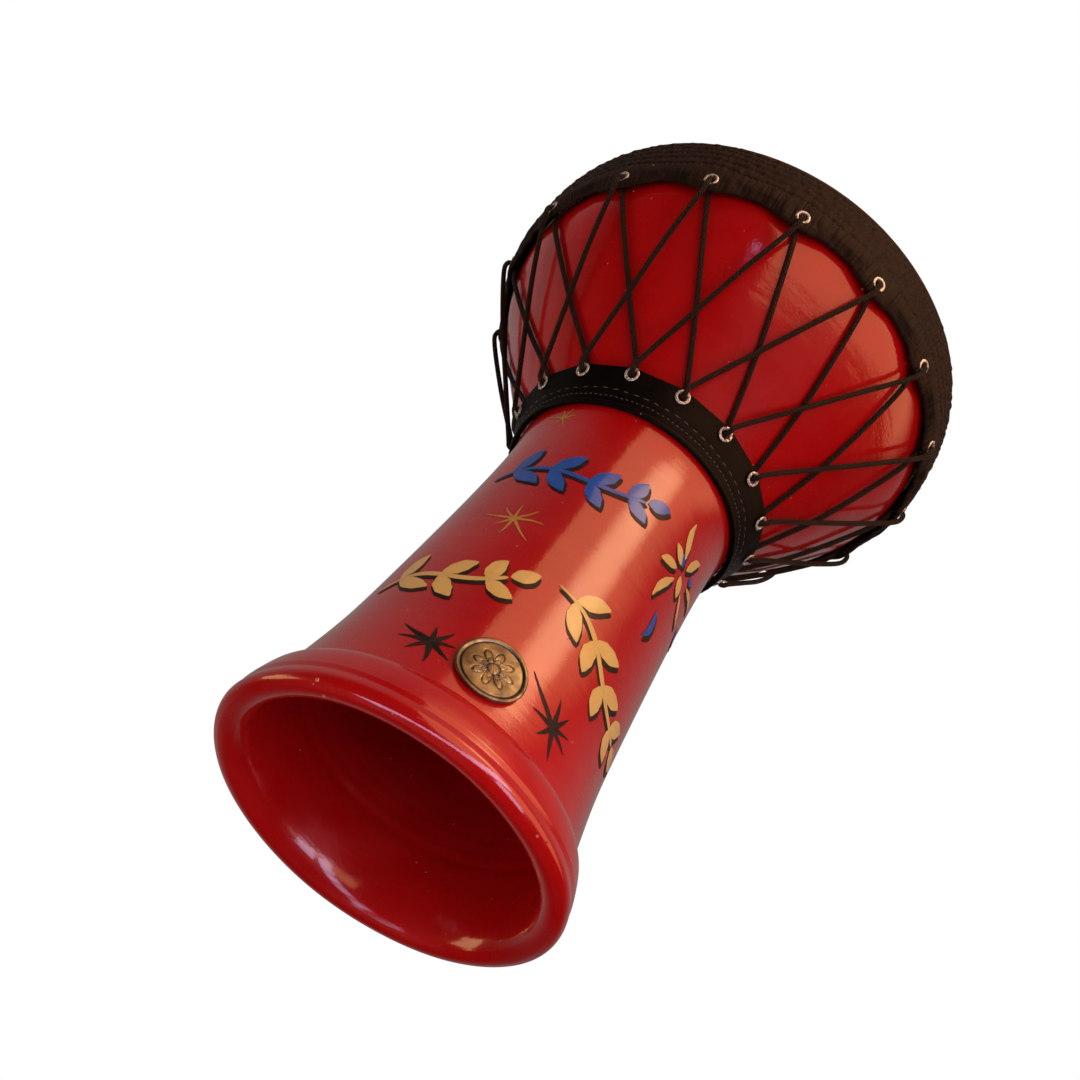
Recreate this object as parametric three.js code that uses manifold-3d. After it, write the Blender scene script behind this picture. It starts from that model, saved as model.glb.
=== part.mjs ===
// A goblet drum (darbuka) with a fired-clay body and a laced cloth skirt that holds its skin.
// Millimetres, +Z up. The drum stands on its open foot: the origin is at the centre of the foot's underside,
// +Z runs up the axis to the head, and the medallion faces -Y.
import * as THREE from "three";
import { mergeVertices } from "three/addons/utils/BufferGeometryUtils.js";
import Module from "manifold-3d";

const wasm = await Module();
wasm.setup();

// ---- driving dimensions ----
const FLATS = 48; // flats round every turned piece, a multiple of PITCHES so that flats and eyelets line up
const PITCHES = 16; // eyelets in each row
const FRONT = -Math.PI / 2; // azimuth of the front eyelets
const GAP = 0.4; // air between pieces that touch on the real drum

const WALL = 9; // clay wall, measured square to the surface
const FOOT_MOUTH = { radius: 85.5, z: 1.5 };
const FOOT_LAND = { inner: 89.5, outer: 93.5 }; // flat ring that the drum stands on
const RIM = { radius: 139.5, z: 427.5, rounding: 5, wall: 10 }; // bearing edge under the skin

const SKIN = { thickness: 0.8, collar: 401.5 }; // collar: how far down the skin reaches outside the rim
const HOOP = { radius: 143.8, z: 410.5, section: 2.5 };
const SKIRT = { thickness: 1.4, scallop: 6, headEdge: 127 }; // scallop: how far the hem rises between eyelets
const BAND = { thickness: 1.6, bottom: 263, top: 284.7, bottomRadius: 71.9, lean: 24 };
const PIPING = { radius: 71.5, z: 261.5, section: 1.5 };

const EYELET = { bore: 2.6, barrel: 2.95, flange: 4.4, lip: 0.35, halfLength: 1.3, hole: 3.25, sides: 8 };
// Middle of each eyelet row, with the lean of its sheet in degrees and the distance from hole to sheet's edge.
const UPPER = { radius: 145.6, z: 386.1, lean: 15, edge: 8.5 };
const LOWER = { radius: 79.8, z: 280.6, lean: BAND.lean, edge: 4.5 };
// turn: radius of the cord's turn through an eyelet. rise: height of a leg's middle above the clay.
const CORD = { radius: 1.7, turn: 3.5, underRise: 3.4, overRise: 7.9, sides: 8 };
// Shares of a leg's length, from its start, where its height above the clay is set.
const LEG = { climbing: [1 / 3, 2 / 3], descending: [0.12, 1 / 3, 2 / 3] };
const KNOT = { radius: 3.3, halfLength: 4.5, share: 0.2, turn: 8 }; // on the outer leg after this eyelet

const MEDALLION = { radius: 18, z: 56.5, thickness: 1.6, rim: 2.2, turn: 2.7 }; // turn: degrees off the front
const CHARCOAL = 0x1c1512;

// ---- helpers ----
const radians = THREE.MathUtils.degToRad;
const at = (radius, z) => new THREE.Vector2(radius, z);
const spline = (points, count) => new THREE.SplineCurve(points).getPoints(count);

function arc(radius, z, r, from, to, count) {
  const curve = new THREE.EllipseCurve(radius, z, r, r, radians(from), radians(to), to < from);
  return curve.getPoints(count);
}

// A closed outline of (radius, z) turned round the Z axis.
function turned(outline, flats = FLATS) {
  const geometry = new THREE.LatheGeometry(outline, flats);
  geometry.rotateX(Math.PI / 2);
  return geometry;
}

function toSolid(geometry) {
  const bare = geometry.clone();
  bare.deleteAttribute("normal");
  bare.deleteAttribute("uv");
  const merged = mergeVertices(bare, 1e-3);
  const vertProperties = merged.attributes.position.array;
  const triVerts = new Uint32Array(merged.index.array);
  return new wasm.Manifold(new wasm.Mesh({ numProp: 3, vertProperties, triVerts }));
}

function toGeometry(solid) {
  const mesh = solid.getMesh();
  const geometry = new THREE.BufferGeometry();
  geometry.setAttribute("position", new THREE.BufferAttribute(mesh.vertProperties, 3));
  geometry.setIndex(new THREE.BufferAttribute(mesh.triVerts, 1));
  geometry.computeVertexNormals();
  return geometry;
}

function named(name, geometry, colour, roughness, metalness = 0) {
  const mesh = new THREE.Mesh(geometry, new THREE.MeshStandardMaterial({ color: colour, roughness, metalness }));
  mesh.name = name;
  return mesh;
}

// Radius of the clay's outside at a height.
function clayRadius(z) {
  const above = clayOutside.findIndex((point) => point.y > z);
  const [a, b] = [clayOutside[above - 1], clayOutside[above]];
  return THREE.MathUtils.mapLinear(z, a.y, b.y, a.x, b.x);
}

// ---- clay body ----
const footOutside = [
  at(FOOT_LAND.inner, 0),
  ...spline([at(FOOT_LAND.outer, 0), at(97, 2), at(98.2, 6), at(96.4, 11.2)], 5), // rolled lip up to its crease
  ...spline([at(96.8, 13.2), at(95.4, 18.5), at(93, 25.5), at(90.6, 29.5)], 4), // step ring
];
const clayOutside = spline(
  [
    at(86.8, 32),
    at(83.4, 48.5),
    at(78.2, 81.5),
    at(73.7, 130.5),
    at(69.3, 190.5),
    at(67.4, 235.5),
    at(69, 259.5),
    at(73, 280.5),
    at(84, 298.5),
    at(104.5, 324.5),
    at(120.5, 348.5),
    at(134, 371),
    at(138.8, 385.5),
    at(RIM.radius, 399.5),
    at(RIM.radius, RIM.z - RIM.rounding),
  ],
  20,
);
const rimCorner = arc(RIM.radius - RIM.rounding, RIM.z - RIM.rounding, RIM.rounding, 0, 90, 2).slice(1);

function clayInside() {
  const wall = clayOutside.slice(1, -2).map((point, i) => {
    const along = clayOutside[i + 2].clone().sub(clayOutside[i]).normalize();
    return at(point.x - WALL * along.y, point.y + WALL * along.x);
  });
  const throat = wall.filter((point, i) => i % 2 === 0 && point.y > 45 && point.y < RIM.z - 45);
  return [at(FOOT_MOUTH.radius, FOOT_MOUTH.z), at(81.5, 8), at(77.5, 26), ...throat];
}

function clayBody() {
  const inner = RIM.radius - RIM.wall;
  const inside = [...clayInside(), at(inner, RIM.z - 30), at(inner, RIM.z - 4), at(inner + 3, RIM.z - 0.6)];
  const outline = [...footOutside, ...clayOutside, ...rimCorner, ...inside.reverse()];
  outline.push(outline[0].clone());
  return named("clay_body", turned(outline), 0xa00a0c, 0.25);
}

// ---- head ----
function drumSkin() {
  const inner = RIM.radius + GAP;
  const outer = inner + SKIN.thickness;
  const under = RIM.z + GAP;
  const corner = RIM.rounding + GAP;
  const underside = arc(RIM.radius - RIM.rounding, RIM.z - RIM.rounding, corner, 90, 0, 2);
  const topside = arc(RIM.radius - RIM.rounding, RIM.z - RIM.rounding, corner + SKIN.thickness, 0, 90, 2);
  const outline = [at(0, under), ...underside, at(inner, SKIN.collar), at(outer, SKIN.collar)];
  outline.push(...topside, at(0, under + SKIN.thickness));
  return named("drum_skin", turned(outline), 0xe6ddc8, 0.6);
}

function hoop() {
  const outline = arc(HOOP.radius, HOOP.z, HOOP.section, 0, 360, 6);
  return named("skin_hoop", turned(outline), 0x77716a, 0.45, 0.9);
}

// ---- skirt and neck band ----
const slope = (place) => radians(place.lean);
const outwards = (place) => at(Math.cos(slope(place)), -Math.sin(slope(place)));
const upwards = (place) => at(Math.sin(slope(place)), Math.cos(slope(place)));

// The direction that an eyelet's legs leave in: down the skirt from the upper row, up the band from the lower.
const legwards = (place) => upwards(place).multiplyScalar(place === UPPER ? -1 : 1);

// (radius, z) of a point off a row's middle: out along the eyelets' axis, then along the sheet towards the legs.
function onSheet(place, out, along) {
  const point = at(place.radius, place.z);
  return point.addScaledVector(outwards(place), out).addScaledVector(legwards(place), along);
}

function fromEyelet(place, azimuth, out, along) {
  const point = onSheet(place, out, along);
  return new THREE.Vector3(point.x * Math.cos(azimuth), point.x * Math.sin(azimuth), point.y);
}

const azimuthOf = (index) => FRONT + (index * 2 * Math.PI) / PITCHES;

function placeEyelet(object, place, index) {
  const azimuth = azimuthOf(index);
  object.position.copy(fromEyelet(place, azimuth, 0, 0));
  object.up.set(0, 0, 1);
  object.lookAt(fromEyelet(place, azimuth, 1, 0));
  object.updateMatrix();
  return object;
}

// A sheet with a hole for each eyelet of a row.
function pierced(geometry, place) {
  const punch = new THREE.CylinderGeometry(EYELET.hole, EYELET.hole, 8, EYELET.sides).rotateX(Math.PI / 2);
  let solid = toSolid(geometry);
  for (let i = 0; i < PITCHES; i++) {
    const holder = placeEyelet(new THREE.Object3D(), place, i);
    solid = solid.subtract(toSolid(punch.clone().applyMatrix4(holder.matrix)));
  }
  return toGeometry(solid);
}

function skirt() {
  const half = SKIRT.thickness / 2;
  const top = RIM.z + 2 * GAP + SKIN.thickness + half;
  const middle = [
    onSheet(UPPER, 0, UPPER.edge),
    onSheet(UPPER, 0, -UPPER.edge / 2),
    at(147.3, RIM.z - 28),
    at(147.4, RIM.z - 12),
    at(145.4, RIM.z - 2),
    at(139.5, top),
    at(SKIRT.headEdge, top),
  ];
  const side = (sign) =>
    middle.map((point, i) => {
      const along = middle[Math.min(i + 1, 6)].clone().sub(middle[Math.max(i - 1, 0)]).normalize();
      return at(point.x + sign * half * along.y, point.y - sign * half * along.x);
    });
  const outline = [...side(1), ...side(-1).reverse()];
  outline.push(outline[0].clone());
  const geometry = turned(outline);
  scallop(geometry.attributes.position);
  return named("skirt", pierced(geometry, UPPER), CHARCOAL, 0.85);
}

// The skirt's lower edge rises between the eyelets.
function scallop(position) {
  for (let i = 0; i < position.count; i++) {
    if (position.getZ(i) > UPPER.z - 2) continue;
    const azimuth = Math.atan2(position.getY(i), position.getX(i)) - FRONT;
    const rise = SKIRT.scallop * Math.sin((azimuth * PITCHES) / 2) ** 2;
    position.setZ(i, position.getZ(i) + rise);
  }
}

function neckBand() {
  const rise = BAND.top - BAND.bottom;
  const topRadius = BAND.bottomRadius + rise * Math.tan(slope(BAND));
  const inward = outwards(BAND).multiplyScalar(-BAND.thickness);
  const outer = [at(BAND.bottomRadius, BAND.bottom), at(topRadius, BAND.top)];
  const outline = [...outer, ...outer.map((point) => point.clone().add(inward)).reverse()];
  outline.push(outline[0].clone());
  return named("neck_band", pierced(turned(outline), LOWER), CHARCOAL, 0.55);
}

function bandPiping() {
  const outline = arc(PIPING.radius, PIPING.z, PIPING.section, 0, 360, 6);
  return named("neck_band_piping", turned(outline), CHARCOAL, 0.5);
}

// ---- eyelets ----
function eyeletGeometry() {
  const { bore, barrel, flange, lip, halfLength } = EYELET;
  const outline = [
    at(bore, -halfLength),
    at(barrel, -halfLength),
    at(barrel, halfLength - lip),
    at(flange, halfLength - lip),
    at(flange, halfLength),
    at(bore, halfLength),
    at(bore, -halfLength),
  ];
  return turned(outline, EYELET.sides);
}

function eyelets(prefix, place) {
  const row = new THREE.Group();
  for (let i = 0; i < PITCHES; i++) {
    const name = prefix + String(i + 1).padStart(2, "0");
    row.add(placeEyelet(named(name, eyeletGeometry(), 0xa9a29a, 0.3, 1), place, i));
  }
  return row;
}

// ---- lacing ----
// A curve whose steps fall on its own points, so that a swept cord keeps every turn through an eyelet.
class Route extends THREE.CatmullRomCurve3 {
  getPointAt(share) {
    return this.getPoint(share);
  }
  getTangentAt(share) {
    return this.getTangent(share);
  }
}

// Half a turn of cord through an eyelet and round the sheet's edge, starting outside (+1) or behind (-1).
function turnThrough(place, index, side) {
  const points = [];
  for (let step = 0; step <= 4; step++) {
    const angle = (step * Math.PI) / 4;
    const out = side * CORD.turn * Math.cos(angle);
    points.push(fromEyelet(place, azimuthOf(index), out, CORD.turn * (1 - Math.sin(angle))));
  }
  const overEdge = fromEyelet(place, azimuthOf(index), CORD.turn, place.edge);
  return side > 0 ? [overEdge, ...points] : [...points, overEdge];
}

// A point a share of the way along a leg, held a little above the clay.
function onLeg(from, to, share, rise) {
  const point = from.clone().lerp(to, share);
  const stretch = (clayRadius(point.z) + rise) / Math.hypot(point.x, point.y);
  return new THREE.Vector3(point.x * stretch, point.y * stretch, point.z);
}

// One cord laces every second eyelet of each row. It climbs outside from a lower eyelet to the next upper one,
// goes in through it, and comes down next to the clay, under the other cord's climbing leg. Its ends meet in a
// knot at the back, on the climbing leg after eyelet KNOT.turn.
function lacing(letter, first) {
  const turns = [];
  for (let i = 0; i <= PITCHES; i++) {
    const index = first + KNOT.turn + i;
    turns.push(i % 2 === 0 ? turnThrough(LOWER, index, -1) : turnThrough(UPPER, index, 1));
  }
  const leg = (i, shares) => {
    const rise = i % 2 === 0 ? CORD.overRise : CORD.underRise;
    return shares.map((share) => onLeg(turns[i].at(-1), turns[i + 1][0], share, rise));
  };
  const [knot] = leg(0, [KNOT.share]);
  const firstLeg = leg(0, LEG.climbing);
  const along = firstLeg[0].clone().sub(knot).normalize();
  const reach = KNOT.halfLength + GAP;

  const points = [knot.clone().addScaledVector(along, reach), ...firstLeg];
  for (let i = 1; i < PITCHES; i++) {
    points.push(...turns[i], ...leg(i, i % 2 === 0 ? LEG.climbing : LEG.descending));
  }
  points.push(...turns[0], knot.clone().addScaledVector(along, -reach));

  const section = new THREE.Shape(arc(0, 0, CORD.radius, 0, 360, CORD.sides).slice(0, -1));
  const cord = new THREE.ExtrudeGeometry(section, { steps: points.length - 1, extrudePath: new Route(points) });
  const group = new THREE.Group();
  group.add(named("lacing_cord_" + letter, cord, CHARCOAL, 0.8), tied("lacing_knot_" + letter, knot, along));
  return group;
}

function tied(name, centre, along) {
  const mesh = named(name, new THREE.SphereGeometry(1, 8, 6), CHARCOAL, 0.8);
  mesh.scale.set(KNOT.radius, KNOT.halfLength, KNOT.radius);
  mesh.position.copy(centre);
  mesh.quaternion.setFromUnitVectors(new THREE.Vector3(0, 1, 0), along);
  return mesh;
}

// ---- medallion ----
// A round badge with a raised rim, bent to the curve of the neck and leaning with it.
function medallion() {
  const { radius, rim, thickness, z } = MEDALLION;
  const field = radius - 2; // radius inside the raised rim
  const back = [0, 1 / 3, 2 / 3, 1].map((share) => at(share * radius, 0));
  const front = [1, 2 / 3, 1 / 3, 0].map((share) => at(share * field, thickness));
  const geometry = turned([...back, at(radius, rim), at(field + 0.4, rim), ...front], 24);
  const position = geometry.attributes.position;
  const seat = clayRadius(z) + 2 * GAP;
  for (let i = 0; i < position.count; i++) {
    const height = z + position.getY(i);
    const azimuth = FRONT + radians(MEDALLION.turn) + position.getX(i) / seat;
    const out = clayRadius(height) + 2 * GAP + position.getZ(i);
    position.setXYZ(i, out * Math.cos(azimuth), out * Math.sin(azimuth), height);
  }
  return named("medallion", geometry, 0x8a6a3a, 0.4, 1);
}

const drum = new THREE.Group();
drum.add(clayBody(), drumSkin(), hoop(), skirt(), neckBand(), bandPiping());
drum.add(eyelets("skirt_eyelet_", UPPER), eyelets("band_eyelet_", LOWER));
drum.add(lacing("a", 0), lacing("b", 1));
drum.add(medallion());

export default drum;
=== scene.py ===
"""A goblet drum (darbuka): a turned clay body in glossy red paint with brushed ornaments, a hide head under a
stitched cloth skirt, and two braided cords laced between the skirt and a leather neck band.

Places are worked out in millimetres and meshes are in metres. +Z is up, and the drum stands on its open foot.
"""

import math

import bpy
import numpy as np
from mathutils import Matrix, Vector


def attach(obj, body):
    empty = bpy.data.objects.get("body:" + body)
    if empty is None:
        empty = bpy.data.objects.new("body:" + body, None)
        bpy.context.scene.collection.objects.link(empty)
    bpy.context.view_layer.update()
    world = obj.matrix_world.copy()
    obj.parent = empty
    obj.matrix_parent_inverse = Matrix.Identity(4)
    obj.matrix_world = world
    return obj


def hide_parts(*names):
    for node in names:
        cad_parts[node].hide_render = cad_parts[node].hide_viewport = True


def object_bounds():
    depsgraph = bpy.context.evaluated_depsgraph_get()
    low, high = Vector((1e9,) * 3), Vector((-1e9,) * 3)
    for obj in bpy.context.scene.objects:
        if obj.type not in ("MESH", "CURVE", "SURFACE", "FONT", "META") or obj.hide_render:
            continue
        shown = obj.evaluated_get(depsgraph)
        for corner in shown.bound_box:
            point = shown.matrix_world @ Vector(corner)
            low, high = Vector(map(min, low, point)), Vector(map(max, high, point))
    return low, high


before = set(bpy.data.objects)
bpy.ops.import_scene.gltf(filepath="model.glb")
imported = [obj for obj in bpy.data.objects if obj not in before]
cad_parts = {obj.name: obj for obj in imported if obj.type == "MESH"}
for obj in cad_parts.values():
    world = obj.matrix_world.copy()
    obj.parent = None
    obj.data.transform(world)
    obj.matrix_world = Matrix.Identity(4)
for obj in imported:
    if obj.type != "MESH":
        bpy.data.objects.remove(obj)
CAD_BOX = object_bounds()

bl_info = {
    "name": "Goblet Drum Maker",
    "version": (1, 0, 0),
    "blender": (4, 5, 0),
    "location": "3D View > Sidebar > Drum",
    "description": "Models a laced clay goblet drum piece by piece",
    "category": "Add Mesh",
}

MM = 0.001
TURN = 2 * math.pi

# ---- the drum's own dimensions, in millimetres and degrees ----
PITCHES = 16  # eyelets in each row
FRONT = -math.pi / 2  # azimuth of the front eyelets
RIM = {"radius": 139.5, "z": 427.5, "rounding": 5, "wall": 10}
WALL = 9  # thickness of the clay's wall
GAP = 0.4  # between the clay and what lies on it
SKIN = 0.8  # thickness of the hide
COLLAR = 401.5  # height that the hide comes down to
# Middle of each eyelet row: edge is the way from a hole to the sheet's edge, and legs is +1 where they climb.
UPPER = {"radius": 145.6, "z": 386.1, "lean": math.radians(15), "edge": 8.5, "legs": -1}
LOWER = {"radius": 79.8, "z": 280.6, "lean": math.radians(24), "edge": 4.5, "legs": 1}
CORD = {"radius": 1.58, "turn": 3.5, "under": 3.4, "over": 7.9}
BRAID = {"strands": 3, "pitch": 5.2}  # strands that wind each way, and how far along they repeat
CLIMBING = (1 / 3, 2 / 3)  # shares of a leg where its height over the clay is set
DESCENDING = (0.12, 1 / 3, 2 / 3)
# Knot: its share of the first leg, the eyelet where its cord starts, how far the ends run in, and half its
# length.
KNOT = {"share": 0.2, "turn": 8, "reach": 4.9, "half": 5.2}
WRAPS = {"turns": 3, "steps": 72, "half": 3.1, "radius": 1.9}  # what is wound round the knot's middle
BAND = {"bottom": 263, "top": 284.7, "radius": 71.9, "thickness": 1.6}
PIPING = {"radius": 71.5, "z": 261.6, "section": 1.75}
PUNCH = {"radius": 3.1, "depth": 8}  # what cuts the holes for the eyelets
SKIRT_HALF = 0.7  # half the cloth's thickness
SKIRT_RADIUS = 147  # radius along which the skirt's stitches are spaced
SKIRT_SIDE = 147.4  # radius of the skirt's straight side
SCALLOP = 6  # how far the hem rises between the eyelets
MEDALLION = {"radius": 18, "field": 16, "z": 56.5, "azimuth": math.radians(-87.3), "plate": 1.6, "rim": 2.2}

FOOT_LIP = [(89.5, 0), (93.5, 0), (97, 2), (98.2, 6), (96.4, 11.2)]
FOOT_STEP = [(96.8, 13.2), (95.4, 18.5), (93, 25.5), (90.6, 29.5)]
CLAY_OUTSIDE = [
    (86.8, 32),
    (83.4, 48.5),
    (78.2, 81.5),
    (73.7, 130.5),
    (69.3, 190.5),
    (67.4, 235.5),
    (69, 259.5),
    (73, 280.5),
    (84, 298.5),
    (104.5, 324.5),
    (120.5, 348.5),
    (134, 371),
    (138.8, 385.5),
    (139.5, 399.5),
    (139.5, 422.5),
]


# ---- sizes and colours that a user would change ----
def linear(text):
    """The linear colour of a hex one."""
    parts = [int(text[i : i + 2], 16) / 255 for i in (0, 2, 4)]
    return tuple(c / 12.92 if c <= 0.04045 else ((c + 0.055) / 1.055) ** 2.4 for c in parts)


def colour(label, about, rgb):
    return bpy.props.FloatVectorProperty(
        name=label, description=about, subtype="COLOR", size=3, min=0, max=1, default=linear(rgb)
    )


class DrumSizes(bpy.types.PropertyGroup):
    turn_steps: bpy.props.IntProperty(
        name="Turning steps",
        description="Steps round the clay body and the head",
        default=192,
        min=48,
        max=384,
    )
    throwing_depth: bpy.props.FloatProperty(
        name="Throwing rings",
        description="Depth of the rings that throwing leaves inside the clay",
        default=0.3 * MM,
        unit="LENGTH",
    )
    skirt_rows: bpy.props.IntProperty(
        name="Skirt stitch rows",
        description="Rows of stitching round the cloth skirt",
        default=5,
        min=1,
        max=8,
    )
    stitch_length: bpy.props.FloatProperty(
        name="Stitch length", description="Length of one stitch on the skirt", default=2.7 * MM, unit="LENGTH"
    )
    pucker: bpy.props.FloatProperty(
        name="Pucker",
        description="How far the skirt puckers between its rows",
        default=0.55 * MM,
        unit="LENGTH",
    )
    cord_step: bpy.props.FloatProperty(
        name="Cord step", description="Spacing of the sections along a cord", default=1.1 * MM, unit="LENGTH"
    )


class DrumColours(bpy.types.PropertyGroup):
    red: colour("Red", "Gloss paint on the clay", "B0090B")
    red_deep: colour("Deep red", "Where the gloss paint lies thicker", "9C0508")
    ochre: colour("Ochre", "Ochre of the brushed ornaments", "CC9C50")
    blue: colour("Blue", "Blue of the brushed ornaments", "0A3F92")
    gold: colour("Gold", "Thin gold stars", "A8742C")
    black: colour("Black", "Black under the ornaments, and the black stars", "120805")
    cloth: colour("Cloth", "Skirt cloth", "24160F")
    thread: colour("Thread", "Skirt thread", "0A0604")
    leather: colour("Leather", "Neck band", "060403")
    band_thread: colour("Band thread", "Stitching on the neck band", "6A5D50")
    cord: colour("Cord", "Braided lacing cord", "2E1D14")
    nickel: colour("Nickel", "Eyelets", "D8D2CA")
    brass: colour("Brass", "Medallion", "8C8468")
    hide: colour("Hide", "Drum head", "DDD0B2")


# ---- curves ----
def cubic(p1, p2, t1, t2, w):
    """The curve from p1 to p2, leaving along t1 and arriving along t2, at a share w of the way."""
    return (2 * p1 - 2 * p2 + t1 + t2) * w**3 + (3 * p2 - 3 * p1 - 2 * t1 - t2) * w**2 + t1 * w + p1


def spline(points, per_span):
    """Points along the smooth curve through some points, per_span steps between each two."""
    known = np.array(points, float)
    last = len(known) - 1
    at = np.linspace(0, last, last * per_span + 1)
    span = np.minimum(at.astype(int), last - 1)
    w = (at - span)[:, None]
    p0, p1, p2, p3 = (known[np.clip(span + k, 0, last)] for k in (-1, 0, 1, 2))
    return cubic(p1, p2, (p2 - p0) / 2, (p3 - p1) / 2, w)


def route(points, step):
    """Points about step apart along a taut curve through some points, which it meets exactly."""
    known = [np.array(p, float) for p in points]
    known = [2 * known[0] - known[1], *known, 2 * known[-1] - known[-2]]
    made = [known[1]]
    for p0, p1, p2, p3 in zip(known, known[1:], known[2:], known[3:]):
        d0, d1, d2 = (math.sqrt(np.linalg.norm(b - a)) for a, b in ((p0, p1), (p1, p2), (p2, p3)))
        t1 = d1 * ((p1 - p0) / d0 - (p2 - p0) / (d0 + d1) + (p2 - p1) / d1)
        t2 = d1 * ((p2 - p1) / d1 - (p3 - p1) / (d1 + d2) + (p3 - p2) / d2)
        count = max(2, round(np.linalg.norm(p2 - p1) / step))
        made += [cubic(p1, p2, t1, t2, w) for w in np.arange(1, count + 1) / count]
    return np.array(made)


def headings(points):
    """The way that a line runs at each of its points, as unit vectors."""
    ahead = np.gradient(points, axis=0)
    return ahead / np.linalg.norm(ahead, axis=1)[:, None]


def distances(points):
    """How far along a line each of its points is."""
    return np.concatenate([[0], np.cumsum(np.linalg.norm(np.diff(points, axis=0), axis=1))])


def to_left(ahead):
    """Flat vectors turned a quarter turn to the left."""
    return np.column_stack([-ahead[:, 1], ahead[:, 0]])


def arc(radius, z, r, start, stop, count):
    """Points round part of a circle of radius r in the (radius, z) plane, from start to stop in degrees."""
    angles = np.radians(np.linspace(start, stop, count + 1))
    return np.column_stack([radius + r * np.cos(angles), z + r * np.sin(angles)])


CLAY_PROFILE = np.vstack(
    [FOOT_LIP[:1], spline(FOOT_LIP[1:], 6), spline(FOOT_STEP, 4), spline(CLAY_OUTSIDE, 11)]
)


def clay_radius(z):
    """Radius of the clay's outside at a height."""
    return np.interp(z, CLAY_PROFILE[:, 1], CLAY_PROFILE[:, 0])


def wander(azimuth, cycles, seed):
    """A value from -1 to 1 that wanders round the drum in whole numbers of waves."""
    phases = np.random.RandomState(seed).uniform(0, TURN, len(cycles))
    return sum(np.sin(n * azimuth + p) for n, p in zip(cycles, phases)) / len(cycles)


def bell(distance, width):
    """1 where the distance is 0, dying away over a width on both sides."""
    return np.exp(-((distance / width) ** 2))


def fade(value, start, stop):
    """0 at start and 1 at stop, smoothly."""
    share = np.clip((value - start) / (stop - start), 0, 1)
    return share * share * (3 - 2 * share)


# ---- modelling ----
def deselect():
    bpy.ops.object.select_all(action="DESELECT")


def activate(obj):
    deselect()
    obj.select_set(True)
    bpy.context.view_layer.objects.active = obj


def linked(name, data):
    """A new object in the scene."""
    obj = bpy.data.objects.new(name, data)
    bpy.context.scene.collection.objects.link(obj)
    return obj


def edit(*steps):
    """Runs mesh operators on all of the active object, each a (name, settings) pair."""
    bpy.ops.object.mode_set(mode="EDIT")
    for name, settings in steps:
        bpy.ops.mesh.select_all(action="SELECT")
        getattr(bpy.ops.mesh, name)(**settings)
    bpy.ops.object.mode_set(mode="OBJECT")


def turned(name, outline, steps):
    """A (radius, z) outline in mm, extruded vertex by vertex and spun round the Z axis."""
    deselect()
    bpy.ops.mesh.primitive_plane_add(size=MM, location=(outline[0][0] * MM, 0, outline[0][1] * MM))
    obj = bpy.context.object
    obj.name = name
    bpy.ops.object.transform_apply(location=True)
    bpy.ops.object.mode_set(mode="EDIT")
    bpy.ops.mesh.merge(type="CENTER")
    for (r0, z0), (r1, z1) in zip(outline, outline[1:]):
        move = ((r1 - r0) * MM, 0, (z1 - z0) * MM)
        bpy.ops.mesh.extrude_vertices_move(TRANSFORM_OT_translate={"value": move})
    bpy.ops.object.mode_set(mode="OBJECT")
    edit(
        ("spin", {"steps": steps, "angle": TURN, "center": (0, 0, 0), "axis": (0, 0, 1)}),
        ("remove_doubles", {"threshold": 1e-6}),
        ("normals_make_consistent", {"inside": False}),
    )
    return obj


def places(obj):
    """The mesh's vertices in mm."""
    co = np.empty(len(obj.data.vertices) * 3)
    obj.data.vertices.foreach_get("co", co)
    return co.reshape(-1, 3) / MM


def put(obj, co):
    """Moves the mesh's vertices to places in mm."""
    obj.data.vertices.foreach_set("co", (co * MM).ravel())
    obj.data.update()


def polar(co):
    return np.arctan2(co[:, 1], co[:, 0]), np.hypot(co[:, 0], co[:, 1]), co[:, 2]


def from_polar(azimuth, radius, z):
    return np.column_stack([radius * np.cos(azimuth), radius * np.sin(azimuth), z + 0 * radius])


def wrap(obj, radius, height):
    """A UV map in metres: u goes round at a radius, and v is height(radius, z)."""
    mesh = obj.data
    layer = mesh.uv_layers.active or mesh.uv_layers.new(name="UVMap")
    count = len(mesh.loops)
    corner = np.empty(count, np.int32)
    mesh.loops.foreach_get("vertex_index", corner)
    starts = np.empty(len(mesh.polygons), np.int32)
    sizes = np.empty(len(mesh.polygons), np.int32)
    mesh.polygons.foreach_get("loop_start", starts)
    mesh.polygons.foreach_get("loop_total", sizes)
    azimuth, r, z = polar(places(obj)[corner])
    most = np.repeat(np.maximum.reduceat(azimuth, starts), sizes)
    azimuth = np.where(most - azimuth > math.pi, azimuth + TURN, azimuth)
    uv = np.column_stack([azimuth * radius, height(r, z)]) * MM
    layer.data.foreach_set("uv", uv.ravel().astype(np.float32))


def apply_all(obj):
    activate(obj)
    for name in [m.name for m in obj.modifiers]:
        bpy.ops.object.modifier_apply(modifier=name)


def smooth(obj, degrees):
    activate(obj)
    bpy.ops.object.shade_smooth_by_angle(angle=math.radians(degrees))
    obj.modifiers.clear()


def joined(name, parts):
    deselect()
    for part in parts:
        part.select_set(True)
    bpy.context.view_layer.objects.active = parts[0]
    bpy.ops.object.join()
    parts[0].name = name
    return parts[0]


def copies(name, pattern, matrices):
    """One mesh made of a small pattern repeated at many places."""
    base = places(pattern) * MM
    faces = [tuple(p.vertices) for p in pattern.data.polygons]
    points, polygons = [], []
    for matrix in matrices:
        first = len(points) * len(base)
        turn, shift = np.array(matrix.to_3x3()), np.array(matrix.translation)
        points.append(base @ turn.T + shift)
        polygons += [tuple(first + v for v in face) for face in faces]
    mesh = bpy.data.meshes.new(name)
    mesh.from_pydata(np.vstack(points).tolist(), [], polygons)
    bpy.data.objects.remove(pattern)
    return linked(name, mesh)


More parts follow.
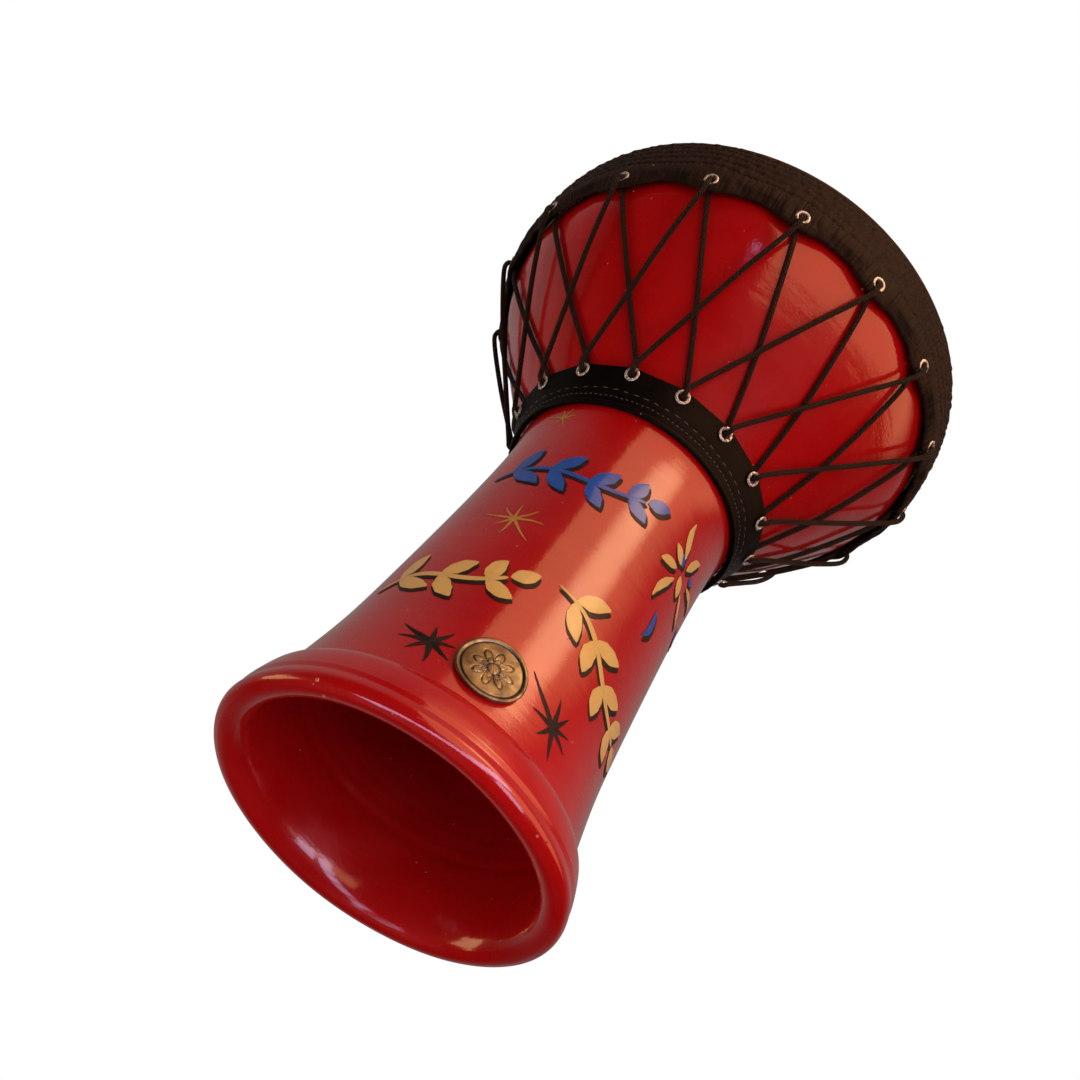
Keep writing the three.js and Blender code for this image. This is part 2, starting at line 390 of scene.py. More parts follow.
def mark(obj, name, values):
    """Gives each vertex a number that a material reads."""
    attribute = obj.data.attributes.new(name, "FLOAT", "POINT")
    attribute.data.foreach_set("value", values.astype(np.float32))


def keep(obj, material, slot, *nodes, degrees):
    """Finishes a piece: its shading, its material, the body it rides on and the CAD nodes it stands for."""
    smooth(obj, degrees)
    obj.data.materials.clear()
    obj.data.materials.append(material)
    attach(obj, "root")
    if nodes:
        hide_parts(*nodes)
    return obj


# ---- places on the drum ----
def azimuth_of(index):
    return FRONT + index * TURN / PITCHES


def on_sheet(row, out, along):
    """(radius, z) off a row's middle: out along the eyelets' axis, then along the sheet towards the legs."""
    c, s = math.cos(row["lean"]), math.sin(row["lean"])
    along *= row["legs"]
    return np.array([row["radius"] + out * c + along * s, row["z"] - out * s + along * c])


def from_eyelet(row, index, out, along):
    radius, z = on_sheet(row, out, along)
    azimuth = azimuth_of(index)
    return np.array([radius * math.cos(azimuth), radius * math.sin(azimuth), z])


def between_eyelets(azimuth):
    """0 at the azimuth of each eyelet and 1 halfway between two."""
    return np.abs(np.sin(PITCHES / 2 * (azimuth - FRONT)))


def turned_to(x, y, z):
    """The turn that takes the three axes to three unit vectors."""
    return Matrix((x, y, z)).transposed().to_4x4()


def eyelet_matrix(row, index):
    """Where an eyelet lies: its own Z axis points out of the sheet."""
    middle = Vector(from_eyelet(row, index, 0, 0))
    out = (Vector(from_eyelet(row, index, 1, 0)) - middle).normalized()
    side = Vector((0, 0, 1)).cross(out).normalized()
    return Matrix.Translation(middle * MM) @ turned_to(side, out.cross(side), out)


def pierce(obj, row):
    """Cuts a round hole through a sheet at each eyelet of a row."""
    cutters = []
    for index in range(PITCHES):
        deselect()
        radius, depth = PUNCH["radius"] * MM, PUNCH["depth"] * MM
        bpy.ops.mesh.primitive_cylinder_add(vertices=20, radius=radius, depth=depth)
        bpy.context.object.data.transform(eyelet_matrix(row, index))
        cutters.append(bpy.context.object)
    cutter = joined("punch", cutters)
    cut = obj.modifiers.new("holes", "BOOLEAN")
    cut.object = cutter
    cut.operation = "DIFFERENCE"
    cut.solver = "EXACT"
    apply_all(obj)
    bpy.data.objects.remove(cutter)


def from_eyelets(azimuth, z, row, reach):
    """0 at the row's eyelets and 1 beyond reach from them, for what dies away around them."""
    pitch = TURN / PITCHES
    off = (azimuth - FRONT + pitch / 2) % pitch - pitch / 2
    distance = np.hypot(off * row["radius"], z - row["z"])
    return fade(distance, reach * 0.6, reach * 1.6)


# ---- materials ----
def feed(tree, node, inputs):
    """Links or sets each input of a shader node."""
    for key, value in inputs.items():
        socket = node.inputs[key]
        if isinstance(value, bpy.types.NodeSocket):
            tree.links.new(value, socket)
        elif isinstance(value, (tuple, list)) and len(value) == 3 and socket.type == "RGBA":
            socket.default_value = (*value, 1)
        else:
            socket.default_value = value
    return node


def add_node(tree, kind, inputs=None, **settings):
    node = tree.nodes.new("ShaderNode" + kind)
    for key, value in settings.items():
        setattr(node, key, value)
    return feed(tree, node, inputs or {})


class Finish:
    """A material being built: a Principled shader and the nodes that feed it."""

    def __init__(self, name, **sockets):
        self.material = bpy.data.materials.new(name)
        self.material.use_nodes = True
        self.tree = self.material.node_tree
        self.shader = self.tree.nodes["Principled BSDF"]
        self.coords = self.node("TexCoord")
        self.finish(**sockets)

    def node(self, kind, inputs=None, **settings):
        return add_node(self.tree, kind, inputs, **settings)

    def place(self, source="Object", scale=(1, 1, 1)):
        inputs = {"Vector": self.coords.outputs[source], "Scale": scale}
        return self.node("Mapping", inputs).outputs["Vector"]

    def noise(self, scale, detail=3, stretch=(1, 1, 1), source="Object", rough=0.5):
        inputs = {"Vector": self.place(source, stretch), "Scale": scale, "Detail": detail, "Roughness": rough}
        return self.node("TexNoise", inputs).outputs["Fac"]

    def span(self, value, low, high, new_low=0.0, new_high=1.0):
        inputs = {"Value": value, "From Min": low, "From Max": high, "To Min": new_low, "To Max": new_high}
        return self.node("MapRange", inputs).outputs["Result"]

    def calc(self, operation, a, b=0.0):
        return self.node("Math", {0: a, 1: b}, operation=operation).outputs[0]

    def mix(self, share, a, b):
        return self.node("Mix", {0: share, 6: a, 7: b}, data_type="RGBA").outputs[2]

    def dots(self, scale, size, share):
        """1 inside a share of some scattered dots of a size, given as a share of their spacing."""
        cells = self.node("TexVoronoi", {"Vector": self.coords.outputs["Object"], "Scale": scale})
        near = self.span(cells.outputs["Distance"], size * 0.6, size, 1.0, 0.0)
        chosen = self.node("SeparateColor", {0: cells.outputs["Color"]}).outputs[0]
        return self.calc("MULTIPLY", near, self.calc("LESS_THAN", chosen, share))

    def relief(self, height, distance, below=None):
        inputs = {"Height": height, "Distance": distance, "Strength": 1.0}
        if below is not None:
            inputs["Normal"] = below
        return self.node("Bump", inputs).outputs["Normal"]

    def finish(self, **sockets):
        feed(self.tree, self.shader, {key.replace("_", " "): value for key, value in sockets.items()})
        return self.material


def colours():
    return bpy.context.scene.drum_colours


def red_gloss():
    c = colours()
    f = Finish("red_gloss_paint", Coat_Weight=1.0, Coat_Roughness=0.05, Specular_IOR_Level=0.2)
    clouds = f.noise(7, 4)
    rings = f.noise(1, 3, (6, 6, 260))
    tone = f.mix(f.span(clouds, 0.35, 0.65), tuple(c.red_deep), tuple(c.red))
    tone = f.mix(f.span(rings, 0.5, 0.75, 0, 0.12), tone, linear("B81410"))
    z = f.node("SeparateXYZ", {0: f.coords.outputs["Object"]}).outputs["Z"]
    at_foot = f.span(z, 0.0, 0.004, 1.0, 0.0)
    chips = f.calc("MULTIPLY", f.dots(160, 0.2, 0.03), at_foot)
    specks = f.dots(210, 0.11, 0.10)
    pits = f.dots(75, 0.055, 0.22)
    tone = f.mix(f.calc("MULTIPLY", specks, 0.6), tone, linear("E08A78"))
    # Painted shade: each pit is dented and also darkened to a deep red, as shade inside it.
    tone = f.mix(pits, tone, linear("4A0204"))
    tone = f.mix(chips, tone, linear("C9A58C"))
    streaks = f.noise(1, 2, (30, 30, 2600))
    peel = f.noise(640, 2)
    hand = f.noise(26, 2, (1, 1, 1.6))
    normal = f.relief(rings, 0.00007)
    normal = f.relief(hand, 0.0003, normal)
    normal = f.relief(peel, 0.00004, normal)
    normal = f.relief(streaks, 0.000012, normal)
    normal = f.relief(f.calc("SUBTRACT", specks, pits), 0.0002, normal)
    normal = f.relief(chips, -0.0004, normal)
    rough = f.span(f.noise(40, 3), 0.3, 0.7, 0.2, 0.36)
    return f.finish(Base_Color=tone, Roughness=rough, Normal=normal, Coat_Normal=normal)


def brushed_paint(name, base, light, coat):
    """Hand-brushed enamel whose bristle marks follow the stroke."""
    f = Finish(name, Coat_Weight=coat, Coat_Roughness=0.1, Specular_IOR_Level=0.25)
    bristles = f.noise(1, 4, (5, 42, 1), "UV", 0.6)
    patches = f.noise(60, 3)
    share = f.calc("ADD", f.span(bristles, 0.35, 0.75, 0, 0.6), f.span(patches, 0.4, 0.8, 0, 0.4))
    normal = f.relief(bristles, 0.00025)
    normal = f.relief(f.noise(170, 2), 0.0001, normal)
    rough = f.span(bristles, 0.3, 0.7, 0.32, 0.52)
    return f.finish(Base_Color=f.mix(share, tuple(base), light), Roughness=rough, Normal=normal)


def skirt_cloth():
    c = colours()
    sheen = {"Sheen_Weight": 0.03, "Sheen_Roughness": 0.5, "Sheen_Tint": linear("8A6248")}
    f = Finish("skirt_cloth", Specular_IOR_Level=0.12, **sheen)
    yarns = {"Vector": f.place("UV"), "Scale": 330, "Distortion": 0.6, "Detail": 1}
    warp = f.node("TexWave", yarns)
    weft = f.node("TexWave", yarns, bands_direction="Y")
    weave = f.calc("MULTIPLY", warp.outputs["Fac"], weft.outputs["Fac"])
    worn = f.noise(38, 4)
    fibres = f.noise(900, 2)
    tone = f.mix(f.span(worn, 0.3, 0.75), linear("150D09"), tuple(c.cloth))
    tone = f.mix(f.span(fibres, 0.55, 0.8, 0, 0.3), tone, linear("32231A"))
    # Painted shade: the cloth is darkened towards near black along the stitch rows, standing in for shade in
    # the channels that the stitching pulls in.
    seam = f.node("Attribute", attribute_name="seam").outputs["Fac"]
    tone = f.mix(f.span(seam, 0.2, 0.9, 0, 0.8), tone, linear("040202"))
    lint = f.dots(120, 0.07, 0.05)
    tone = f.mix(lint, tone, linear("A89584"))
    normal = f.relief(weave, 0.00012)
    normal = f.relief(fibres, 0.00015, normal)
    normal = f.relief(worn, 0.0004, normal)
    folds = f.calc("ABSOLUTE", f.span(f.noise(1, 2, (130, 24, 1), "UV"), 0.3, 0.7, -1, 1))
    hang = f.span(f.node("SeparateXYZ", {0: f.coords.outputs["UV"]}).outputs["Y"], 0.386, 0.4, 1.0, 0.3)
    normal = f.relief(f.calc("MULTIPLY", f.calc("POWER", folds, 0.5), hang), 0.0012, normal)
    rough = f.span(worn, 0.2, 0.8, 0.5, 0.7)
    return f.finish(Base_Color=tone, Roughness=rough, Normal=normal)


def thread(name, base):
    f = Finish(name, Sheen_Weight=0.2)
    twist = f.noise(1500, 2)
    tone = f.mix(twist, tuple(v * 0.6 for v in base), tuple(base))
    rough = f.span(twist, 0.2, 0.8, 0.6, 0.85)
    return f.finish(Base_Color=tone, Roughness=rough, Normal=f.relief(twist, 0.0001))


def band_leather():
    c = colours()
    f = Finish("band_leather", Specular_IOR_Level=0.1)
    grain = f.node("TexVoronoi", {"Vector": f.coords.outputs["Object"], "Scale": 1400}).outputs["Distance"]
    worn = f.noise(45, 4)
    tone = f.mix(f.span(worn, 0.4, 0.8), tuple(c.leather), linear("0D0907"))
    dust = f.dots(140, 0.09, 0.06)
    tone = f.mix(dust, tone, linear("7D6E60"))
    normal = f.relief(grain, 0.00008)
    normal = f.relief(worn, 0.0006, normal)
    return f.finish(Base_Color=tone, Roughness=f.span(worn, 0.3, 0.7, 0.38, 0.55), Normal=normal)


def braided_cord():
    """A tight braid: two sets of strands cross as they wind round the cord."""
    c = colours()
    sheen = {"Sheen_Weight": 0.03, "Sheen_Roughness": 0.4, "Sheen_Tint": linear("7A5A48")}
    f = Finish("braided_cord", Specular_IOR_Level=0.35, **sheen)
    parts = f.node("SeparateXYZ", {0: f.coords.outputs["UV"]})
    round_it = f.calc("MULTIPLY", parts.outputs["X"], BRAID["strands"] * TURN)
    along = f.calc("MULTIPLY", parts.outputs["Y"], TURN / (BRAID["pitch"] * MM))
    left = f.calc("SINE", f.calc("ADD", round_it, along))
    right = f.calc("SINE", f.calc("SUBTRACT", round_it, along))
    braid = f.calc("ABSOLUTE", f.calc("MULTIPLY", left, right))
    lift = f.calc("POWER", braid, 0.6)
    fibres = f.noise(1100, 2)
    # Painted shade: the cord is darkened to near black where the strands dip between each other.
    tone = f.mix(f.span(lift, 0.45, 0.85), linear("050201"), tuple(c.cord))
    tone = f.mix(f.span(fibres, 0.55, 0.8, 0, 0.35), tone, linear("402A1D"))
    normal = f.relief(lift, 0.0014)
    normal = f.relief(fibres, 0.0001, normal)
    return f.finish(Base_Color=tone, Roughness=f.span(fibres, 0.3, 0.7, 0.5, 0.75), Normal=normal)


def nickel():
    c = colours()
    f = Finish("nickel_eyelet", Metallic=0.65)
    worn = f.noise(800, 3)
    scratch = f.noise(1, 2, (900, 900, 3200))
    tone = f.mix(f.span(worn, 0.5, 0.66), tuple(c.nickel), linear("3A332D"))
    normal = f.relief(scratch, 0.00004)
    return f.finish(Base_Color=tone, Roughness=f.span(worn, 0.3, 0.7, 0.25, 0.5), Normal=normal)


def aged_brass():
    """Brass that is bright on its raised parts and dark in its recesses."""
    c = colours()
    f = Finish("aged_brass", Metallic=1.0)
    height = f.node("Attribute", attribute_name="relief").outputs["Fac"]
    patina = f.noise(160, 4)
    brushed = f.noise(1, 2, (60, 60, 4200))
    bright = f.mix(f.span(patina, 0.35, 0.7), tuple(c.brass), linear("5E5444"))
    tone = f.mix(f.span(height, 0.1, 0.5), linear("1A120B"), bright)
    normal = f.relief(brushed, 0.00003)
    normal = f.relief(patina, 0.0001, normal)
    return f.finish(Base_Color=tone, Roughness=f.span(patina, 0.3, 0.7, 0.3, 0.5), Normal=normal)


def hide():
    c = colours()
    f = Finish("goat_hide", Subsurface_Weight=0.08, Subsurface_Scale=0.004)
    mottle = f.noise(22, 6, rough=0.65)
    veins = f.noise(90, 5, (1, 0.25, 1))
    pores = f.noise(1300, 2)
    tone = f.mix(f.span(mottle, 0.35, 0.7), linear("B9A27E"), tuple(c.hide))
    tone = f.mix(f.span(veins, 0.62, 0.8, 0, 0.4), tone, linear("8F7550"))
    normal = f.relief(pores, 0.00008)
    normal = f.relief(mottle, 0.0004, normal)
    return f.finish(Base_Color=tone, Roughness=f.span(mottle, 0.3, 0.7, 0.5, 0.7), Normal=normal)


def dull_steel():
    f = Finish("dull_steel", Metallic=1.0)
    worn = f.noise(300, 3)
    tone = f.mix(worn, linear("8C857E"), linear("4F4943"))
    rough = f.span(worn, 0.3, 0.7, 0.35, 0.6)
    return f.finish(Base_Color=tone, Roughness=rough, Normal=f.relief(worn, 0.0001))


# ---- clay body ----
class DRUM_OT_clay_body(bpy.types.Operator):
    """Throw the clay goblet: lip, step ring, waisted neck and flaring bowl, hollow from foot to rim"""

    bl_idname = "drum.clay_body"
    bl_label = "Clay body"

    def execute(self, context):
        sizes = context.scene.drum_sizes
        corner = arc(RIM["radius"] - RIM["rounding"], RIM["z"] - RIM["rounding"], RIM["rounding"], 0, 90, 6)
        outline = [*CLAY_PROFILE, *corner[1:], *self.inside(sizes.throwing_depth / MM)]
        outline.append(outline[0])
        body = turned("clay_shell", outline, sizes.turn_steps)
        self.hand_finish(body)
        keep(body, red_gloss(), "red_painted_clay", "clay_body", degrees=60)
        return {"FINISHED"}

    def inside(self, depth):
        """The bore's profile from the rim down to the mouth, with the rings that throwing leaves."""
        inner = RIM["radius"] - RIM["wall"]
        outside = spline(CLAY_OUTSIDE, 11)[1:-1]
        wall = outside + WALL * to_left(headings(outside))
        wall = wall[(wall[:, 1] > 45) & (wall[:, 1] < RIM["z"] - 45)]
        ease = spline([(85.5, 1.5), (81.5, 8), (77.5, 26), wall[0]], 6)[:-1]
        top = [(inner, RIM["z"] - 30), (inner, RIM["z"] - 4), (inner + 3, RIM["z"] - 0.6)]
        profile = np.vstack([ease, wall, top])
        z = profile[:, 1]
        rings = np.sin(z * 0.62 + 1.7 * np.sin(z * 0.11)) * (0.6 + 0.4 * np.sin(z * 0.047))
        profile[:, 0] += depth * rings * fade(z, 20, 50) * fade(-z, -380, -350)
        return profile[::-1]

    def hand_finish(self, body):
        """Leaves the lip and the bore a little uneven, as a hand does."""
        azimuth, radius, z = polar(places(body))
        at_foot = fade(-z, -34, -4)
        bore = (radius < clay_radius(z) - 4) & (z > 4)
        radius = radius + 0.35 * at_foot * wander(azimuth, (3, 5, 8), 1)
        radius = radius + bore * 0.4 * wander(azimuth + z * 0.02, (4, 7, 11), 2) * fade(z, 8, 40)
        z = z + 0.25 * at_foot * fade(z, 1, 6) * wander(azimuth, (4, 7), 3)
        put(body, from_polar(azimuth, radius, z))


# ---- head ----
class DRUM_OT_head(bpy.types.Operator):
    """Stretch the hide over the rim, and give its hidden steel hoop a finish"""

    bl_idname = "drum.head"
    bl_label = "Head"

    def execute(self, context):
        centre = (RIM["radius"] - RIM["rounding"], RIM["z"] - RIM["rounding"])
        corner = RIM["rounding"] + GAP
        under, inner = RIM["z"] + GAP, RIM["radius"] + GAP
        outline = [(0, under), (40, under), (80, under), (120, under)]
        outline += [*arc(*centre, corner, 90, 0, 6), (inner, COLLAR), (inner + SKIN, COLLAR)]
        outline += [*arc(*centre, corner + SKIN, 0, 90, 6)]
        outline += [(120, under + SKIN), (80, under + SKIN), (40, under + SKIN), (0, under + SKIN)]
        head = turned("hide_head", outline, context.scene.drum_sizes.turn_steps)
        keep(head, hide(), "hide", "drum_skin", degrees=60)
        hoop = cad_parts["skin_hoop"]
        hoop.data.materials.clear()
        hoop.data.materials.append(dull_steel())
        return {"FINISHED"}


# ---- skirt ----
SEAM = math.radians(-112)  # azimuth where the cloth's ends are sewn together


def skirt_row(azimuth, row):
    """Height of a row of skirt stitching, which wanders as hand-guided sewing does."""
    pitch = 6.6 - 0.25 * row
    drift = 1.3 * wander(azimuth, (5, 9, 16), 11) + 0.55 * wander(azimuth, (23, 31), 20 + row)
    sag = 1.5 * np.cos(PITCHES * (azimuth - FRONT)) * (1 - 0.16 * row)
    return UPPER["z"] + 11.5 + pitch * row + drift + sag * 0.6


def skirt_relief(azimuth, z, rows, pucker):
    """How far the cloth stands out of its smooth shape, in mm."""
    away = from_eyelets(azimuth, z, UPPER, 7)
    relief = 0.35 * wander(azimuth, (3, 5, 9), 12)
    for row in range(rows):
        off = z - skirt_row(azimuth, row)
        relief = relief - 0.7 * bell(off, 1.0)
        gathers = wander(azimuth, (67, 97, 131, 167), 30 + row)
        relief = relief + pucker * 1.4 * gathers * bell(off - 2.6, 2.8)
    skewed = azimuth + 0.004 * (z - UPPER["z"])
    creases = np.abs(wander(skewed, (13, 31, 47), 13))
    low = fade(-z, -(UPPER["z"] + 13), -(UPPER["z"] - 6))
    relief = relief + (1.2 * creases - 0.4) * low * away
    relief = relief - 1.0 * between_eyelets(azimuth) * fade(-z, -(UPPER["z"] + 2), -(UPPER["z"] - 8))
    relief = relief + 0.55 * bell((azimuth - SEAM) * UPPER["radius"] - 1.2, 1.1)
    relief = relief - 0.6 * bell((azimuth - SEAM) * UPPER["radius"] + 0.6, 0.7)
    return relief * away


def skirt_channel_shade(azimuth, z, rows):
    """1 along the rows of stitching and 0 between them: where the skirt's cloth is darkened as painted shade
    in the stitch channels.
    """
    return sum(bell(z - skirt_row(azimuth, row), 0.9) for row in range(rows))


class DRUM_OT_skirt(bpy.types.Operator):
    """Sew the cloth skirt: scalloped folded hem, wandering stitch rows, puckers and a sewn join"""

    bl_idname = "drum.skirt"
    bl_label = "Skirt"

    def execute(self, context):
        sizes = context.scene.drum_sizes
        rows, pucker = sizes.skirt_rows, sizes.pucker / MM
        skirt = turned("cloth_skirt", self.outline(), 600)
        azimuth, radius, z = polar(places(skirt))
        # Marks the stitch rows, where the cloth material paints shade in the channels.
        mark(skirt, "seam", skirt_channel_shade(azimuth, z, rows))
        relief = skirt_relief(azimuth, z, rows, pucker)
        side = fade(-z, -(RIM["z"] + 1), -(RIM["z"] - 5))
        radius = radius + relief * side
        crown = 0.4 * wander(azimuth, (41, 67, 97), 14) * bell(radius - 136, 6)
        z = z + crown * (1 - side)
        rise = SCALLOP * between_eyelets(azimuth) ** 1.6
        rise = rise + 0.5 * wander(azimuth, (11, 29, 47), 15)
        z = z + rise * fade(-z, -(UPPER["z"] + 4), -(UPPER["z"] - 8))
        put(skirt, from_polar(azimuth, radius, z))
        pierce(skirt, UPPER)
        wrap(skirt, 145, lambda r, z: z + (SKIRT_SIDE - r))
        keep(skirt, skirt_cloth(), "skirt_cloth", "skirt", degrees=50)
        stitching = self.stitches(rows, pucker, sizes.stitch_length / MM)
        return {"FINISHED"}

    def middle(self):
        """The (radius, z) line halfway through the cloth, from the hem over the rim to the inner edge."""
        top = RIM["z"] + 2 * GAP + SKIN + SKIRT_HALF
        known = [on_sheet(UPPER, 0, UPPER["edge"]), on_sheet(UPPER, 0, -UPPER["edge"] / 2)]
        known += [(SKIRT_SIDE - 0.1, RIM["z"] - 28), (SKIRT_SIDE, RIM["z"] - 12)]
        known += [(SKIRT_SIDE - 2, RIM["z"] - 2)]
        known += [(139.5, top), (127, top)]
        return spline(known, 12)

    def outline(self):
        """The cloth's section, thicker where the hem is folded and thin at both edges."""
        middle = self.middle()
        from_hem = distances(middle)
        fold = 0.55 * fade(-from_hem, -7.5, -5.5)
        half = (SKIRT_HALF + fold) * np.sqrt(np.clip(from_hem / 1.2, 0.08, 1))
        half = half * np.sqrt(np.clip((from_hem[-1] - from_hem) / 1.2, 0.08, 1))
        square = -to_left(headings(middle)) * half[:, None]
        lining = (middle - square)[::-1]
        outline = [*(middle + square), lining[0], *lining[1:-1:2], lining[-1]]
        outline.append(outline[0])
        return outline

    def surface(self, azimuth, z, rows, pucker):
        """Radius of the cloth's outside at a height on the skirt's side."""
        middle = self.middle()
        side = middle[middle[:, 1] < RIM["z"] - 1]
        radius = np.interp(z, side[:, 1], side[:, 0]) + SKIRT_HALF
        return radius + skirt_relief(azimuth, z, rows, pucker)

    def stitches(self, rows, pucker, length):
        pattern = stitch_pattern(length, 0.42)
        matrices = []
        for row in range(rows):
            count = round(TURN * SKIRT_RADIUS / (length * 1.32))
            azimuth = (np.arange(count) + 0.37 * row) * TURN / count
            z = skirt_row(azimuth, row)
            ahead = skirt_row(azimuth + 0.01, row)
            radius = self.surface(azimuth, z, rows, pucker) + 0.02
            for a, h, slope, r in zip(azimuth, z, (ahead - z) / 0.01 / SKIRT_RADIUS, radius):
                matrices.append(stitch_matrix(a, r, h, slope))
        obj = copies("skirt_stitches", pattern, matrices)
        return keep(obj, thread("skirt_thread", colours().thread), "skirt_cloth", degrees=80)


def stitch_pattern(length, radius):
    """One thread stitch lying along X, thick in its middle, whose ends dive into the sheet."""
    deselect()
    bpy.ops.mesh.primitive_cylinder_add(vertices=5, radius=radius * MM, depth=length * MM)
    stitch = bpy.context.object
    stitch.data.transform(Matrix.Rotation(math.pi / 2, 4, "Y"))
    edit(("subdivide", {"number_cuts": 1}), ("remove_doubles", {"threshold": 1e-6}))
    co = places(stitch)
    share = np.abs(co[:, 0]) / (length / 2)
    co[:, 2] -= 1.5 * radius * share**2
    put(stitch, co)
    return stitch


def stitch_matrix(azimuth, radius, z, slope, lean=0.0):
    """X along the row, which may slope, and Z out of a surface that leans back by lean."""
    out = Vector((math.cos(azimuth) * math.cos(lean), math.sin(azimuth) * math.cos(lean), -math.sin(lean)))
    along = Vector((-math.sin(azimuth), math.cos(azimuth), slope))
    along = (along - out * along.dot(out)).normalized()
    place = Vector((radius * math.cos(azimuth), radius * math.sin(azimuth), z)) * MM
    return Matrix.Translation(place) @ turned_to(along, out.cross(along), out)


# ---- neck band ----
BAND_ROWS = ((3.6, 2.3, 3.2), (7.6, 4.6, 6.4))  # height over the lower edge, stitch length, pitch


def band_radius(z):
    """Radius of the neck band's smooth outside at a height."""
    return BAND["radius"] + (z - BAND["bottom"]) * math.tan(LOWER["lean"])


def band_relief(azimuth, z):
    """How far the leather stands out of its smooth shape, in mm."""
    relief = 0.25 * wander(azimuth, (5, 11, 17), 41)
    for row in BAND_ROWS:
        relief = relief - 0.22 * bell(z - BAND["bottom"] - row[0], 0.7)
    relief = relief - 0.5 * between_eyelets(azimuth) * fade(z, BAND["top"] - 8, BAND["top"])
    return relief * from_eyelets(azimuth, z, LOWER, 5.5)


class DRUM_OT_neck_band(bpy.types.Operator):
    """Cut the leather neck band, roll its lower edge and sew its two stitch lines"""

    bl_idname = "drum.neck_band"
    bl_label = "Neck band"

    def execute(self, context):
        heights = np.linspace(BAND["bottom"], BAND["top"], 26)
        lean = LOWER["lean"]
        back = BAND["thickness"] * np.array([-math.cos(lean), math.sin(lean)])
        front = np.column_stack([band_radius(heights), heights])
        rounded = front[-1] + back / 2 + 0.35 * np.array([math.sin(lean), math.cos(lean)])
        outline = [*front, rounded, *(front + back)[::-1], front[0]]
        band = turned("leather_band", outline, 384)
        azimuth, radius, z = polar(places(band))
        radius = radius + band_relief(azimuth, z)
        edge = fade(z, BAND["top"] - 6, BAND["top"])
        z = z - 0.9 * between_eyelets(azimuth) * edge
        put(band, from_polar(azimuth, radius, z))
        pierce(band, LOWER)
        leather = band_leather()
        wrap(band, 77, lambda r, z: z * 1.09)
        keep(band, leather, "band_leather", "neck_band", degrees=50)
        section = arc(PIPING["radius"], PIPING["z"], PIPING["section"], 0, 360, 20)
        roll = turned("leather_roll", section, 288)
        azimuth, radius, z = polar(places(roll))
        puckers = 0.12 * wander(azimuth, (90, 133), 42) + 0.15 * wander(azimuth, (7, 12), 43)
        put(roll, from_polar(azimuth, radius + puckers, z))
        wrap(roll, 73, lambda r, z: z)
        keep(roll, leather, "band_leather", "neck_band_piping", degrees=60)
        sewing = self.stitches()
        return {"FINISHED"}

    def stitches(self):
        made = []
        material = thread("band_thread", colours().band_thread)
        for number, (height, length, pitch) in enumerate(BAND_ROWS):
            pattern = stitch_pattern(length, 0.2)
            z = BAND["bottom"] + height
            count = round(TURN * band_radius(z) / pitch)
            matrices = []
            for i in range(count):
                azimuth = i * TURN / count
                wobble = z + 0.15 * math.sin(i * 1.7) + 0.2 * wander(azimuth, (6, 10), 44 + number)
                radius = band_radius(wobble) + band_relief(azimuth, wobble) + 0.06
                slope = 0.12 * math.sin(i * 2.3)
                matrices.append(stitch_matrix(azimuth, radius, wobble, slope, LOWER["lean"]))
            obj = copies("band_stitches_%d" % (number + 1), pattern, matrices)
            made.append(keep(obj, material, "band_leather", degrees=80))
        return made


# ---- eyelets ----
class DRUM_OT_eyelets(bpy.types.Operator):
    """Set the nickel eyelets: smooth ones in the skirt, split ones in the neck band"""

    bl_idname = "drum.eyelets"
    bl_label = "Eyelets"

    def execute(self, context):
        material = nickel()
        for label, row, splits in (("skirt_eyelet_", UPPER, 0), ("band_eyelet_", LOWER, 7)):
            first = turned("eyelet", self.outline(), 42)
            if splits:
                self.split(first, splits)
            for index in range(PITCHES):
                node = "%s%02d" % (label, index + 1)
                ring = first.copy()
                ring.data = first.data.copy()
                ring.name = "nickel_" + node
                context.scene.collection.objects.link(ring)
                spin = Matrix.Rotation(index * 2.4, 4, "Z")
                ring.data.transform(eyelet_matrix(row, index) @ spin)
                keep(ring, material, "nickel", node, degrees=35)
            bpy.data.objects.remove(first)
        return {"FINISHED"}

    def outline(self):
        """A barrel whose front end is rolled outwards into a domed flange."""
        dome = spline([(2.62, 0.6), (2.72, 1.15), (3.15, 1.45), (3.75, 1.4), (4.25, 1.15), (4.4, 0.9)], 2)
        return [(2.95, -1.3), (2.95, 0.8), (4.15, 0.78), *dome[::-1], (2.6, -1.3), (2.95, -1.3)]

    def split(self, ring, splits):
        """Nicks the inner edge of the flange, where the barrel tears as it is rolled over."""
        azimuth, radius, z = polar(places(ring))
        nick = np.clip(np.cos(splits * azimuth + 0.8 * np.sin(2 * azimuth)) - 0.72, 0, 1) / 0.28
        lip = (z > 0.95) & (radius < 4.0)
        radius = radius + 0.35 * nick * lip * (radius < 3.3)
        z = z - 0.5 * nick * lip
        put(ring, from_polar(azimuth, radius, z))


# ---- lacing ----
def turn_through(row, index, side):
    """Half a turn of cord through an eyelet and round the sheet's edge, from outside (+1) or behind (-1)."""
    turn = CORD["turn"]
    points = []
    for angle in np.linspace(0, math.pi, 5):
        points.append(from_eyelet(row, index, side * turn * math.cos(angle), turn * (1 - math.sin(angle))))
    over_edge = from_eyelet(row, index, turn, row["edge"])
    return [over_edge, *points] if side > 0 else [*points, over_edge]


def on_leg(start, stop, share, rise):
    """A point a share of the way along a leg, held a little above the clay."""
    x, y, z = start + (stop - start) * share
    stretch = (clay_radius(z) + rise) / math.hypot(x, y)
    return np.array([x * stretch, y * stretch, z])


